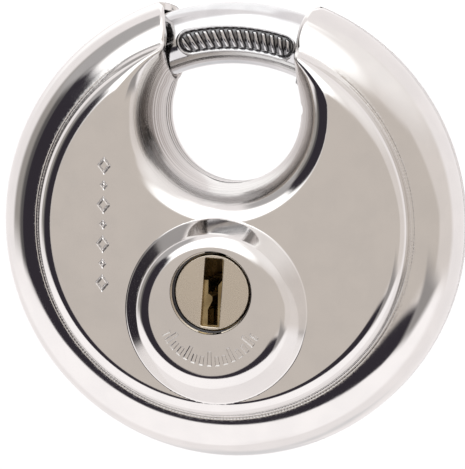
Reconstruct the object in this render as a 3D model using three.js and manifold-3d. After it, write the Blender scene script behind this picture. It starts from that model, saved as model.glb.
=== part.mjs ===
// Disc padlock: a round stainless body of two welded shells, a C-shaped shackle that turns inside its rim,
// and a five-pin cylinder whose plug drives the shackle through a pinion and a toothed carrier plate.
//
// Units are millimetres. The disc's axis is Y, the keyhole faces -Y, and the shackle is at the top (+Z).
// Pieces are drawn about the disc's centre; the outer group then moves the origin to the hanging point,
// the middle of the shackle's underside. Angles round the disc are clockwise from the top, seen from -Y.
// "Height" means distance from the mid plane, forward or backward.

import * as THREE from 'three';
import { mergeVertices } from 'three/addons/utils/BufferGeometryUtils.js';
import Module from 'manifold-3d';

const wasm = await Module();
wasm.setup();

// ---------------------------------------------------------------- driving dimensions

const WALL = 1.2;
const SEAM_GAP = 0.1;

const DISC = { radius: 35, skirt: 1.4, beadRadius: 6.7 };
const BEAD_RING = DISC.radius - DISC.beadRadius;
const BEAD_TOP = DISC.skirt + DISC.beadRadius;
const GROOVE = { radius: 27.9, height: 7.5 };
const PLATEAU = { radius: 27.5, height: 11, edge: 1.9 };
const BOSS = { z: -11.65, baseRadius: 13, topRadius: 9.5, height: 15.2, innerBase: 11.3, innerTop: 9.3 };
const HOLE = { z: 16.7, radius: 10.4, straight: 4.5, lip: 13.9 };
const MOUTH = { z: 19.4, halfWidth: 10, lean: 0.114, top: 40 };

const SHACKLE = { ring: 28.6, radius: 4.7, tip: -36, middle: 40, tail: 104, turn: 58 };
const CHANNEL = { ring: BEAD_RING, halfWidth: DISC.beadRadius - WALL, halfDepth: BEAD_TOP - WALL };
const FLAT = { from: 64, y: 3.9 };
const BUSHES = { right: [24, 31], left: [-41, -28], seatGap: 0.08, barGap: 0.15 };
const HANG_Z = SHACKLE.ring - SHACKLE.radius;

const GEAR = {
  module: 0.5, sectorTeeth: 24, pinionTeeth: 12, addendum: 0.85,
  dedendum: 1.3, rootHalf: 0.34, tipHalf: 0.1,
};
const PLUG_Z = -GEAR.module * (GEAR.sectorTeeth + GEAR.pinionTeeth) / 2;
const CARRIER = {
  y0: 4.1, y1: 5.8, hub: 4.2, arm: 82, armHalf: 2,
  padFrom: 69, padTo: 95, padIn: 25.4, padOut: 30.2,
};
const SECTOR = { from: 112, to: 204 };
const CARRIER_SCREW = { angles: [76, 88], depth: 5, gap: 0.08, tapGap: 0.15 };

const PLUG = { radius: 5.45, front: -13.4, back: 3.4, hole: 6.1 };
const CAP = { front: -14.3, back: -13.5, bevel: 0.2 };
const KEYWAY = { halfWidth: 1.32, narrowHalf: 0.75, top: 4.9, step: 1.7, bottom: -4.9, back: 2.9 };
const WARD = { tip: -0.1, top: -0.7, bottom: -1.3, rootTop: -0.25, rootBottom: -2.6 };
const NECK = { radius: 3.2, back: 3.95 };
const CLIP = { radius: 6.4, openingHalf: 1.6, frontGap: 0.03, backGap: 0.1, boreGap: 0.08 };
const TAIL = { half: 1.1, back: 5.8, screwHole: 0.7, gap: 0.08 };
const PINION_SCREW = { radius: 0.6, depth: 1.6, head: 1.9, headDepth: 0.9, gap: 0.1 };
const CYLINDER = { radius: 7, front: -12.7, back: 3.4, bore: 5.6, flange: 1.6, ear: 2.6 };
const STACK = { halfWidth: 2.6, front: -9.5, bottom: -12.6 };
const PINS = {
  count: 5, first: -8, pitch: 2.5, radius: 1,
  chamber: 1.1, shear: 5.3, driverTop: 5.75, driver: 3.3,
};
const KEY_PIN_LENGTHS = [2.9, 2.2, 3.2, 2.5, 3];
const PIN_TIP = { key: 0.35, keyTaper: 0.6, shear: 0.8, shearTaper: 0.25, driver: 0.75, driverTaper: 0.3 };
const SPRING = { radius: 0.72, wire: 0.14, turns: 3, bottom: -12.35, top: -9.3 };

const COVER = { thickness: 0.8, gap: 0.05 };
const SHIELD = { radius: 9, hole: 5.75, thickness: 1, gap: 0.1 };

const CHASSIS = { y0: 8.1, y1: 9.7, radius: 23.4, holeGap: 1.3, pinGap: 0.06 };
const PIVOT = { radius: 2.2, bore: 2.35, front: 3.75 };
const WASHER = { radius: 4, gap: 0.1 };
const SPACERS = { left: [-9.6, -9], right: [5.8, -16], radius: 2.2, bore: 1.4, gap: 0.05 };
const SCREW = { radius: 1.25, head: 2.1, headDepth: 1.1, headRim: 0.3, reach: 0.8, gap: 0.15 };
const STOP = { radius: 1.5, ring: 20, gap: 0.15, proud: 0.2 };

// How far cutting shapes reach: past the rim, and to either side of the mid plane.
const BEYOND = 60;
const DEEP = 20;

const ROUND = { disc: 60, mid: 36, bar: 14, small: 14, pin: 10, turn: 7 };

// ---------------------------------------------------------------- solids

/** A closed manifold-3d solid from any closed three.js geometry, with its faces turned outwards. */
function solid(geometry) {
  const bare = geometry.clone();
  bare.deleteAttribute('normal');
  bare.deleteAttribute('uv');
  const merged = mergeVertices(bare);
  const vertProperties = new Float32Array(merged.attributes.position.array);
  const index = Array.from(merged.index.array);
  const triangles = [];
  for (let i = 0; i < index.length; i += 3) {
    const [a, b, c] = index.slice(i, i + 3);
    if (a !== b && b !== c && c !== a) triangles.push(a, b, c);
  }
  const make = (list) => new wasm.Manifold(new wasm.Mesh({
    numProp: 3, vertProperties, triVerts: new Uint32Array(list),
  }));
  if (signedVolume(vertProperties, triangles) > 0) return make(triangles);
  return make(triangles.reverse());
}

function signedVolume(position, triangles) {
  const a = new THREE.Vector3();
  const b = new THREE.Vector3();
  const c = new THREE.Vector3();
  let sum = 0;
  for (let i = 0; i < triangles.length; i += 3) {
    a.fromArray(position, 3 * triangles[i]);
    b.fromArray(position, 3 * triangles[i + 1]);
    c.fromArray(position, 3 * triangles[i + 2]);
    sum += a.dot(b.cross(c));
  }
  return sum / 6;
}

function join(first, ...others) {
  return others.reduce((whole, other) => whole.add(other), first);
}

function cut(first, ...others) {
  return others.reduce((whole, other) => whole.subtract(other), first);
}

const group = new THREE.Group();
const padlock = new THREE.Group();
padlock.position.z = -HANG_Z;
group.add(padlock);

/** Adds one finished piece to the padlock as its own named mesh. */
function piece(name, body, look) {
  const { vertProperties, triVerts } = body.getMesh();
  const geometry = new THREE.BufferGeometry();
  geometry.setAttribute('position', new THREE.BufferAttribute(new Float32Array(vertProperties), 3));
  geometry.setIndex(new THREE.BufferAttribute(new Uint32Array(triVerts), 1));
  geometry.computeVertexNormals();
  const mesh = new THREE.Mesh(geometry, new THREE.MeshStandardMaterial(look));
  mesh.name = name;
  padlock.add(mesh);
}

// ---------------------------------------------------------------- shapes

const radians = THREE.MathUtils.degToRad;

/** A point at a clockwise angle from the top, in the XZ plane. */
function polar(radius, degrees) {
  return new THREE.Vector2(radius * Math.sin(radians(degrees)), radius * Math.cos(radians(degrees)));
}

/** Points of an elliptic arc, both ends included; angles anticlockwise from the first axis. */
function arc(centreX, centreY, radiusX, radiusY, from, to, steps) {
  const points = [];
  for (let i = 0; i <= steps; i += 1) {
    const angle = radians(from + (to - from) * i / steps);
    points.push(new THREE.Vector2(centreX + radiusX * Math.cos(angle), centreY + radiusY * Math.sin(angle)));
  }
  return points;
}

const at = (x, y) => new THREE.Vector2(x, y);

/** Turns a (radius, height) profile round an axis parallel to Y. Side -1 is the front, +1 the rear. */
function turned(profile, segments, side = 1, x = 0, z = 0) {
  const points = profile.map((p) => at(p.x, side * p.y));
  return solid(new THREE.LatheGeometry(points, segments).translate(x, 0, z));
}

/** A plain round bar or hole parallel to Y. */
function rod(radius, y0, y1, segments, x = 0, z = 0) {
  return turned([at(0, y0), at(radius, y0), at(radius, y1), at(0, y1)], segments, 1, x, z);
}

/** A flat plate cut to an XZ outline, from depth y0 back to y1. */
function plate(shape, y0, y1, curveSegments = ROUND.bar) {
  const options = { depth: y1 - y0, bevelEnabled: false, curveSegments };
  return solid(new THREE.ExtrudeGeometry(shape, options).rotateX(Math.PI / 2).translate(0, y1, 0));
}

function block(x0, x1, y0, y1, z0, z1) {
  const box = new THREE.BoxGeometry(x1 - x0, y1 - y0, z1 - z0);
  return solid(box.translate((x0 + x1) / 2, (y0 + y1) / 2, (z0 + z1) / 2));
}

/** A slice of the disc between two angles, used to keep part of a full ring. */
function wedge(from, to, radius, y0, y1) {
  const steps = Math.ceil((to - from) / 10);
  const points = [at(0, 0)];
  for (let i = 0; i <= steps; i += 1) points.push(polar(radius, from + (to - from) * i / steps));
  return plate(new THREE.Shape(points), y0, y1);
}

/** A pin-like piece turned about a vertical axis; profile points are (radius, z). */
function upright(profile, segments, y, z = 0) {
  const turnedUp = new THREE.LatheGeometry(profile, segments).rotateX(Math.PI / 2);
  return solid(turnedUp.translate(0, y, z));
}

/** A full ring of elliptic section round the disc's axis. */
function ring(radius, halfWidth, halfDepth, steps = ROUND.bar) {
  const section = arc(radius, 0, halfWidth, halfDepth, 0, 360, steps);
  section[steps].copy(section[0]);
  return turned(section, ROUND.disc);
}

// ---------------------------------------------------------------- body shells

/** Outside of one half: skirt, bead, groove, rounded plateau edge, flat plateau. */
function outerHalf(side) {
  const { radius, height, edge } = PLATEAU;
  return turned([
    at(0, SEAM_GAP),
    at(DISC.radius, SEAM_GAP),
    ...arc(BEAD_RING, DISC.skirt, DISC.beadRadius, DISC.beadRadius, 0, 90, 6),
    at(GROOVE.radius, GROOVE.height),
    ...arc(radius - edge, height - edge, edge, edge, 0, 90, 3),
    at(0, height),
  ], ROUND.disc, side);
}

/** Inside of one half, open past the mid plane. */
function innerHalf(side) {
  const inside = PLATEAU.height - WALL;
  const shoulder = PLATEAU.radius - WALL;
  return turned([
    at(0, -1),
    at(DISC.radius - WALL, -1),
    ...arc(BEAD_RING, DISC.skirt, CHANNEL.halfWidth, CHANNEL.halfWidth, 0, 90, 4),
    at(shoulder, CHANNEL.halfDepth),
    at(shoulder, inside - WALL),
    at(shoulder - WALL, inside),
    at(0, inside),
  ], ROUND.mid, side);
}

/** The trumpet-shaped opening, or with inset > 0 the wall left round it. */
function throat(side, inset) {
  const flareWidth = HOLE.lip - HOLE.radius - inset;
  const flareDepth = PLATEAU.height - HOLE.straight - inset;
  const top = HOLE.straight + flareDepth + 1;
  return turned([
    at(0, -1),
    at(HOLE.radius + inset, -1),
    ...arc(HOLE.lip, HOLE.straight, flareWidth, flareDepth, 180, 90, 5),
    at(HOLE.lip, top),
    at(0, top),
  ], ROUND.mid, side, 0, HOLE.z);
}

/** The gap between the two horns, which widens slightly towards the rim. */
function mouth() {
  const low = MOUTH.halfWidth - MOUTH.lean * (MOUTH.z - HOLE.z);
  const high = MOUTH.halfWidth + MOUTH.lean * (MOUTH.top - MOUTH.z);
  const outline = [at(-low, HOLE.z), at(low, HOLE.z), at(high, MOUTH.top), at(-high, MOUTH.top)];
  return plate(new THREE.Shape(outline), -BOSS.height, BOSS.height);
}

function shellHalf(side) {
  const hollow = cut(innerHalf(side), throat(side, WALL));
  const channel = ring(CHANNEL.ring, CHANNEL.halfWidth, CHANNEL.halfDepth);
  return cut(outerHalf(side), hollow, throat(side, 0), channel, mouth());
}

function boss() {
  const rise = BOSS.height - PLATEAU.height;
  const shoulder = BOSS.baseRadius - BOSS.topRadius;
  return turned([
    at(0, PLATEAU.height - WALL / 2),
    at(BOSS.baseRadius, PLATEAU.height - WALL / 2),
    ...arc(BOSS.topRadius, PLATEAU.height, shoulder, rise, 0, 90, 5),
    at(0, BOSS.height),
  ], ROUND.mid, -1, 0, BOSS.z);
}

function bossHollow() {
  const inside = BOSS.height - WALL;
  return turned([
    at(0, CHANNEL.halfDepth),
    at(BOSS.innerBase, CHANNEL.halfDepth),
    at(BOSS.innerBase, PLATEAU.height + WALL / 2),
    at(BOSS.innerTop, inside),
    at(0, inside),
  ], ROUND.mid, -1, 0, BOSS.z);
}

const POLISHED = { color: 0xd9dadb, roughness: 0.12, metalness: 1 };
const HARDENED = { color: 0xd4d6da, roughness: 0.15, metalness: 1 };
const PLAIN_STEEL = { color: 0x9a9da1, roughness: 0.45, metalness: 1 };
const DARK_STEEL = { color: 0x6b6d70, roughness: 0.5, metalness: 1 };
const BRASS = { color: 0xc2a04c, roughness: 0.35, metalness: 1 };
const NICKEL = { color: 0xc9c0ae, roughness: 0.4, metalness: 1 };
const SPRING_STEEL = { color: 0xb4b6ba, roughness: 0.3, metalness: 1 };
const POLYMER = { color: 0x1c1c1e, roughness: 0.6, metalness: 0 };

const plugHole = rod(PLUG.hole, -BOSS.height - 1, -CYLINDER.radius, ROUND.mid, 0, PLUG_Z);
piece('front_shell', cut(join(shellHalf(-1), boss()), bossHollow(), plugHole), POLISHED);
piece('rear_shell', shellHalf(1), POLISHED);

// ---------------------------------------------------------------- shackle and its guides

/** The countersunk screws that hold the carrier plate to the shackle's milled flat. */
function carrierScrew(degrees, grow = 0) {
  const p = polar(SHACKLE.ring, degrees);
  const depth = CARRIER.y0 - CARRIER_SCREW.depth;
  return turned([
    at(0, depth - grow),
    at(SCREW.radius + grow, depth - grow),
    at(SCREW.radius + grow, CARRIER.y0 + grow),
    at(SCREW.head + grow, CARRIER.y1 - SCREW.headRim),
    at(SCREW.head + grow, CARRIER.y1 + grow),
    at(0, CARRIER.y1 + grow),
  ], ROUND.small, 1, p.x, p.y);
}

function shackle() {
  const bar = ring(SHACKLE.ring, SHACKLE.radius, SHACKLE.radius);
  const near = wedge(SHACKLE.tip, SHACKLE.middle, BEYOND, -DEEP, DEEP);
  const far = wedge(SHACKLE.middle - 1, SHACKLE.tail, BEYOND, -DEEP, DEEP);
  const kept = bar.intersect(near.add(far));
  const flat = wedge(FLAT.from, SHACKLE.tail + 2, BEYOND, FLAT.y, DEEP);
  const holes = CARRIER_SCREW.angles.map((degrees) => carrierScrew(degrees, CARRIER_SCREW.tapGap));
  return cut(kept, flat, ...holes);
}

/** A liner that fills the rim channel and guides the bar. */
function bush(from, to) {
  const { seatGap, barGap } = BUSHES;
  const outer = ring(CHANNEL.ring, CHANNEL.halfWidth - seatGap, CHANNEL.halfDepth - seatGap);
  const bore = ring(SHACKLE.ring, SHACKLE.radius + barGap, SHACKLE.radius + barGap);
  return cut(outer, bore).intersect(wedge(from, to, BEYOND, -DEEP, DEEP));
}

piece('shackle', shackle(), HARDENED);
piece('right_shackle_bush', bush(...BUSHES.right), PLAIN_STEEL);
piece('left_shackle_bush', bush(...BUSHES.left), POLYMER);

// ---------------------------------------------------------------- gears and carrier

/** A toothed wheel outline with straight flanks; a tooth is centred at the given clockwise angle. */
function gearShape(teeth, toothAngle) {
  const { module, addendum, dedendum, rootHalf, tipHalf } = GEAR;
  const pitch = module * teeth / 2;
  const root = pitch - dedendum * module;
  const tip = pitch + addendum * module;
  const step = 360 / teeth;
  const points = [];
  for (let i = 0; i < teeth; i += 1) {
    const middle = toothAngle + i * step;
    points.push(polar(root, middle - rootHalf * step));
    points.push(polar(tip, middle - tipHalf * step));
    points.push(polar(tip, middle + tipHalf * step));
    points.push(polar(root, middle + rootHalf * step));
  }
  return new THREE.Shape(points);
}

function carrier() {
  const { y0, y1, hub, arm, armHalf, padFrom, padTo, padIn, padOut } = CARRIER;
  const span = new THREE.BoxGeometry(2 * armHalf, y1 - y0, padIn + 1);
  span.translate(0, (y0 + y1) / 2, (padIn + 1) / 2);
  span.rotateY(radians(arm));
  const pad = cut(rod(padOut, y0, y1, ROUND.disc), rod(padIn, y0 - 1, y1 + 1, ROUND.disc));
  const teeth = plate(gearShape(GEAR.sectorTeeth, 180), y0, y1);
  const whole = join(
    rod(hub, y0, y1, ROUND.mid),
    solid(span),
    pad.intersect(wedge(padFrom, padTo, BEYOND, y0 - 1, y1 + 1)),
    teeth.intersect(wedge(SECTOR.from, SECTOR.to, BEYOND, y0 - 1, y1 + 1)),
  );
  const holes = CARRIER_SCREW.angles.map((degrees) => carrierScrew(degrees, CARRIER_SCREW.gap));
  return cut(whole, rod(PIVOT.bore, y0 - 1, y1 + 1, ROUND.small), ...holes);
}

function pinion() {
  const teeth = plate(gearShape(GEAR.pinionTeeth, 180 / GEAR.pinionTeeth), CARRIER.y0, CARRIER.y1);
  const half = TAIL.half + TAIL.gap;
  const drive = block(-half, half, CARRIER.y0 - 1, CARRIER.y1 + 1, -half, half);
  return cut(teeth, drive).translate([0, 0, PLUG_Z]);
}

piece('carrier_plate', carrier(), PLAIN_STEEL);
CARRIER_SCREW.angles.forEach((degrees, i) => {
  piece(`carrier_screw_${i + 1}`, carrierScrew(degrees), DARK_STEEL);
});
piece('drive_pinion', pinion(), DARK_STEEL);

// ---------------------------------------------------------------- plug

/** The slot that the key slides in: wide above, narrow below, with a ward on its left. */
function keyway() {
  const { halfWidth, narrowHalf, top, step, bottom, back } = KEYWAY;
  const outline = [
    at(-narrowHalf, bottom), at(narrowHalf, bottom), at(narrowHalf, step - narrowHalf), at(halfWidth, step),
    at(halfWidth, top), at(-halfWidth, top), at(-halfWidth, step), at(-narrowHalf, step),
    at(-narrowHalf, WARD.rootTop), at(WARD.tip, WARD.top), at(WARD.tip, WARD.bottom),
    at(-narrowHalf, WARD.rootBottom),
  ];
  return plate(new THREE.Shape(outline), PLUG.front - 1, back);
}

function plug() {
  const barrel = turned([
    at(0, PLUG.front), at(PLUG.radius, PLUG.front), at(PLUG.radius, PLUG.back),
    at(NECK.radius, PLUG.back), at(NECK.radius, NECK.back), at(0, NECK.back),
  ], ROUND.mid);
  const tail = block(-TAIL.half, TAIL.half, NECK.back - 1, TAIL.back, -TAIL.half, TAIL.half);
  const screwHole = rod(TAIL.screwHole, NECK.back, TAIL.back + 1, ROUND.pin);
  const chamberProfile = [
    at(0, -PLUG.radius - 1), at(PINS.chamber, -PLUG.radius - 1), at(PINS.chamber, 0), at(0, 0),
  ];
  const chambers = pinDepths().map((y) => upright(chamberProfile, ROUND.pin, y));
  return cut(join(barrel, tail), screwHole, keyway(), ...chambers).translate([0, 0, PLUG_Z]);
}

function plugCap() {
  const { halfWidth, top, bottom } = KEYWAY;
  const face = turned([
    at(0, CAP.front), at(PLUG.radius - CAP.bevel, CAP.front), at(PLUG.radius, CAP.front + CAP.bevel),
    at(PLUG.radius, CAP.back), at(0, CAP.back),
  ], ROUND.mid);
  const slot = block(-halfWidth, halfWidth, CAP.front - 1, CAP.back + 1, bottom, top);
  return cut(face, slot).translate([0, 0, PLUG_Z]);
}

/** An open spring clip on the plug's neck, which keeps the plug in its bore. */
function plugClip() {
  const y0 = PLUG.back + CLIP.frontGap;
  const y1 = NECK.back - CLIP.backGap;
  const bore = rod(NECK.radius + CLIP.boreGap, y0 - 1, y1 + 1, ROUND.mid);
  const opening = block(-CLIP.openingHalf, CLIP.openingHalf, y0 - 1, y1 + 1, -CLIP.radius - 1, 0);
  return cut(rod(CLIP.radius, y0, y1, ROUND.mid), bore, opening).translate([0, 0, PLUG_Z]);
}

function pinionScrew() {
  const { radius, depth, head, headDepth, gap } = PINION_SCREW;
  const seat = TAIL.back + gap;
  return turned([
    at(0, TAIL.back - depth), at(radius, TAIL.back - depth), at(radius, seat),
    at(head, seat), at(head, seat + headDepth), at(0, seat + headDepth),
  ], ROUND.pin, 1, 0, PLUG_Z);
}

function pinDepths() {
  return Array.from({ length: PINS.count }, (_, i) => PINS.first + PINS.pitch * i);
}

piece('plug', plug(), BRASS);
piece('plug_cap', plugCap(), NICKEL);
piece('plug_clip', plugClip(), SPRING_STEEL);
piece('pinion_screw', pinionScrew(), DARK_STEEL);

// ---------------------------------------------------------------- cylinder and pin stacks

/** Two ears that carry the cylinder on the spacers. */
function flange() {
  const { back, flange: thickness, ear } = CYLINDER;
  const ears = [SPACERS.left, SPACERS.right].map(([x, z]) => {
    const reach = Math.hypot(x, z - PLUG_Z);
    const strap = new THREE.BoxGeometry(2 * ear, thickness, reach);
    strap.translate(0, back - thickness / 2, reach / 2);
    strap.rotateY(Math.atan2(x, z - PLUG_Z));
    const end = rod(ear, back - thickness, back, ROUND.small, x, z);
    return solid(strap.translate(0, 0, PLUG_Z)).add(end);
  });
  return join(...ears);
}

function cylinder() {
  const barrel = rod(CYLINDER.radius, CYLINDER.front, CYLINDER.back, ROUND.mid, 0, PLUG_Z);
  const { halfWidth, front, bottom } = STACK;
  const stack = block(-halfWidth, halfWidth, front, CYLINDER.back, PLUG_Z + bottom, PLUG_Z);
  const bore = rod(CYLINDER.bore, CYLINDER.front - 1, CYLINDER.back + 1, ROUND.mid, 0, PLUG_Z);
  const chamberProfile = [at(0, -DEEP), at(PINS.chamber, -DEEP), at(PINS.chamber, 0), at(0, 0)];
  const chambers = pinDepths().map((y) => upright(chamberProfile, ROUND.pin, y, PLUG_Z));
  const screwHoles = [SPACERS.left, SPACERS.right].map(([x, z]) => (
    rod(SPACERS.bore, 0, CYLINDER.back + 1, ROUND.small, x, z)));
  return cut(join(barrel, stack, flange()), bore, ...chambers, ...screwHoles);
}

/** A key pin with a blunt point that rides on the key's cuts. */
function keyPin(length) {
  const { radius, shear } = PINS;
  const top = length - shear;
  return [
    at(0, -shear), at(radius * PIN_TIP.shear, -shear), at(radius, -shear + PIN_TIP.shearTaper),
    at(radius, top - PIN_TIP.keyTaper), at(radius * PIN_TIP.key, top), at(0, top),
  ];
}

function driverPin() {
  const { radius, driverTop, driver } = PINS;
  const bottom = -driverTop - driver;
  return [
    at(0, bottom), at(radius * PIN_TIP.driver, bottom), at(radius, bottom + PIN_TIP.driverTaper),
    at(radius, -driverTop - PIN_TIP.shearTaper), at(radius * PIN_TIP.shear, -driverTop), at(0, -driverTop),
  ];
}

/** A vertical helix, for the springs under the driver pins. */
class Helix extends THREE.Curve {
  getPoint(t, target = new THREE.Vector3()) {
    const angle = 2 * Math.PI * SPRING.turns * t;
    const low = SPRING.bottom + SPRING.wire;
    const high = SPRING.top - SPRING.wire;
    const x = SPRING.radius * Math.cos(angle);
    const y = SPRING.radius * Math.sin(angle);
    return target.set(x, y, low + (high - low) * t);
  }
}

function pinSpring(y) {
  const wire = new THREE.Shape().absarc(0, 0, SPRING.wire, 0, 2 * Math.PI);
  const steps = ROUND.turn * SPRING.turns;
  const options = { extrudePath: new Helix(), steps, curveSegments: 2, bevelEnabled: false };
  return solid(new THREE.ExtrudeGeometry(wire, options).translate(0, y, PLUG_Z));
}

piece('cylinder_body', cylinder(), BRASS);
pinDepths().forEach((y, i) => {
  piece(`key_pin_${i + 1}`, upright(keyPin(KEY_PIN_LENGTHS[i]), ROUND.pin, y, PLUG_Z), BRASS);
  piece(`driver_pin_${i + 1}`, upright(driverPin(), ROUND.pin, y, PLUG_Z), SPRING_STEEL);
  piece(`pin_spring_${i + 1}`, pinSpring(y), SPRING_STEEL);
});

function chamberCover() {
  const { halfWidth, front, bottom } = STACK;
  const top = PLUG_Z + bottom - COVER.gap;
  return block(-halfWidth, halfWidth, front, CYLINDER.back, top - COVER.thickness, top);
}

function drillShield() {
  const front = -BOSS.height + WALL + SHIELD.gap;
  const disc = rod(SHIELD.radius, front, front + SHIELD.thickness, ROUND.mid, 0, BOSS.z);
  return cut(disc, rod(SHIELD.hole, -DEEP, 0, ROUND.mid, 0, PLUG_Z));
}

piece('chamber_cover', chamberCover(), BRASS);
piece('drill_shield', drillShield(), DARK_STEEL);

// ---------------------------------------------------------------- chassis

function chassisScrew([x, z], grow = 0) {
  const front = CYLINDER.back - CYLINDER.flange - SCREW.reach;
  const { y1 } = CHASSIS;
  return turned([
    at(0, front), at(SCREW.radius + grow, front), at(SCREW.radius + grow, y1 - SCREW.headDepth - grow),
    at(SCREW.head + grow, y1 - SCREW.headRim), at(SCREW.head + grow, y1 + grow), at(0, y1 + grow),
  ], ROUND.small, 1, x, z);
}

function chassis() {
  const { y0, y1, radius, holeGap, pinGap } = CHASSIS;
  const disc = rod(radius, y0, y1, ROUND.mid);
  const clearance = rod(HOLE.lip + WALL + holeGap, y0 - 1, y1 + 1, ROUND.mid, 0, HOLE.z);
  const screws = [SPACERS.left, SPACERS.right].map((place) => chassisScrew(place, SCREW.gap));
  const post = rod(PIVOT.radius + pinGap, y0 - 1, y1 + 1, ROUND.small);
  const stops = stopPlaces().map((p) => rod(STOP.radius + pinGap, y0 - 1, y1 + 1, ROUND.small, p.x, p.y));
  return cut(disc, clearance, post, ...screws, ...stops);
}

/** Where the two stop pins stand, just beyond the carrier arm's limits. */
function stopPlaces() {
  const offset = THREE.MathUtils.radToDeg(Math.asin((CARRIER.armHalf + STOP.radius + STOP.gap) / STOP.ring));
  const closed = CARRIER.arm - offset;
  const open = CARRIER.arm + SHACKLE.turn + offset;
  return [polar(STOP.ring, closed), polar(STOP.ring, open)];
}

piece('chassis_plate', chassis(), PLAIN_STEEL);
piece('pivot_post', rod(PIVOT.radius, PIVOT.front, CHASSIS.y1, ROUND.small), DARK_STEEL);
const washer = rod(WASHER.radius, CARRIER.y1 + WASHER.gap, CHASSIS.y0 - WASHER.gap, ROUND.small);
piece('pivot_washer', cut(washer, rod(PIVOT.bore, 0, DEEP, ROUND.small)), SPRING_STEEL);

const [closedStop, openStop] = stopPlaces();
for (const [name, place] of [['stop_pin_closed', closedStop], ['stop_pin_open', openStop]]) {
  const pin = rod(STOP.radius, CARRIER.y0 - STOP.proud, CHASSIS.y1, ROUND.small, place.x, place.y);
  piece(name, pin, DARK_STEEL);
}

for (const side of ['left', 'right']) {
  const [x, z] = SPACERS[side];
  const { radius, bore, gap } = SPACERS;
  const tube = rod(radius, CYLINDER.back + gap, CHASSIS.y0 - gap, ROUND.small, x, z);
  piece(`${side}_spacer`, cut(tube, rod(bore, 0, DEEP, ROUND.small, x, z)), PLAIN_STEEL);
  piece(`${side}_cylinder_screw`, chassisScrew(SPACERS[side]), DARK_STEEL);
}

export default group;
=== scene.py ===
import math

import bpy
import numpy as np
from mathutils import Matrix, Vector
from mathutils.geometry import delaunay_2d_cdt


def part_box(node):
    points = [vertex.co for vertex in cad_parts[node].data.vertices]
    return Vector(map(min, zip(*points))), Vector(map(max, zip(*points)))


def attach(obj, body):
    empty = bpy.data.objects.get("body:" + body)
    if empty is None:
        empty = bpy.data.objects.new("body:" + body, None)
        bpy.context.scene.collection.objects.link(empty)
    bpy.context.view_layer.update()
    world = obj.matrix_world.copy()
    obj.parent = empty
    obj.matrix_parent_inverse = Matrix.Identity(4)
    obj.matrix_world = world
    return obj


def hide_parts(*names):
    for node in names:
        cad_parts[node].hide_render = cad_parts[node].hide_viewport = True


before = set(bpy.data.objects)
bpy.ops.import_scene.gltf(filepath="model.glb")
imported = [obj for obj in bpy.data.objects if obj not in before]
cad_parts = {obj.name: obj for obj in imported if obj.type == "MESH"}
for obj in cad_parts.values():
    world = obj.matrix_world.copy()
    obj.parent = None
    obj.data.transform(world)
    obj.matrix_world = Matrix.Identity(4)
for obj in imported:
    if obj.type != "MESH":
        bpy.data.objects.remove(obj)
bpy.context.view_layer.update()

# ------------------------------------------------------------------ sizes
# In millimetres about the disc's centre: x is to the right, z up, and "height" is the distance from the
# mid plane, towards either face.

MM = 0.001
front_low, front_high = [np.array(p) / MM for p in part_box("front_shell")]
rear_low, rear_high = [np.array(p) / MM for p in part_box("rear_shell")]
bar_low, bar_high = [np.array(p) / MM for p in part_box("shackle")]

RADIUS = (front_high[0] - front_low[0]) / 2
CENTRE_Z = front_low[2] + RADIUS
PLATEAU = rear_high[1]
BOSS_TOP = -front_low[1]
SEAM = rear_low[1]
WALL = 1.2

# The rim: its skirt and bead, the flat ring and slope inside it, and the fine grooves round the plateau.
SKIRT = 0.85
BEAD = 7.25
BEAD_RING = RADIUS - BEAD
FLAT_RING = 25.4
FLAT_BLEND = 0.12
EDGE_CURVE = 2.45
EDGE_TILT = math.radians(70)
GROOVE_RING = 28.05
GROOVE_DEPTH = 0.12
GROOVE_WIDTH = 0.12
POLISH_RING = 28.5
POLISH_DEPTH = 0.03
POLISH_WIDTH = 0.08
RIM_MARKS_FADE = (21.0, 25.5)

# The opening: a round hole, the flare about it, and the horns at its two sides.
HOLE_Z = 16.7
HOLE = 10.4
FLARE = 16.2
FLARE_CURVE = 3.6
FLARE_TILT = math.radians(50)
FLARE_BLEND = 0.02
FLARE_HORN_BLEND = 1.2
FLARE_HORN_RISE = (19.0, 25.0)
HORN_BLEND = 1.9
HORN_RISE = (20.5, 25.0)
LEFT_HORN = 9.3
RIGHT_HORN = 10.3
HORN_SPLAY = 0.05
HORN_SPLAY_Z = 27.5
CORNER_SPLAY = 1.8
CORNER_Z = 32.0
LEFT_EDGE = 0.65
RIGHT_EDGE = 0.9

# The boss and the plug's hole in it.
BOSS_Z = -11.65
BOSS_FLAT = 9.1
BOSS_WIDTH = 4.5
BOSS_DROOP = 0.45
BOSS_CURVE = 3.0
BOSS_CURVE_RUN = 2.46
BOSS_BLEND = 0.2
PLUG_Z = -9.0
PLUG_HOLE = 5.9
CHAMFER = 0.2

# The engraving: an arc of ticks under the plug and a row of lozenges at the left.
TICK_IN = 5.9
TICK_SHORT_IN = 6.7
TICK_OUT = 8.1
TICK_STEP = 9.0
TICK_HALF = 1.9
TICK_WALL = 0.75
TICK_SPAN = 63.5
TICK_DEPTH = 0.3
TICK_END = 0.12
TICKS_PER_LONG = 3
LOZENGE_X = -17.4
LOZENGES = 7
LOZENGE_STEP = 2.9
LOZENGE_HALF = 1.3
LOZENGE_DEPTH = 0.1
LOZENGE_SMALL = 0.55
LOZENGE_SLIM = 1.25
LOZENGE_OUTER = (0.0, 0.2)
LOZENGE_INNER = (0.4, 0.6)

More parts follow.
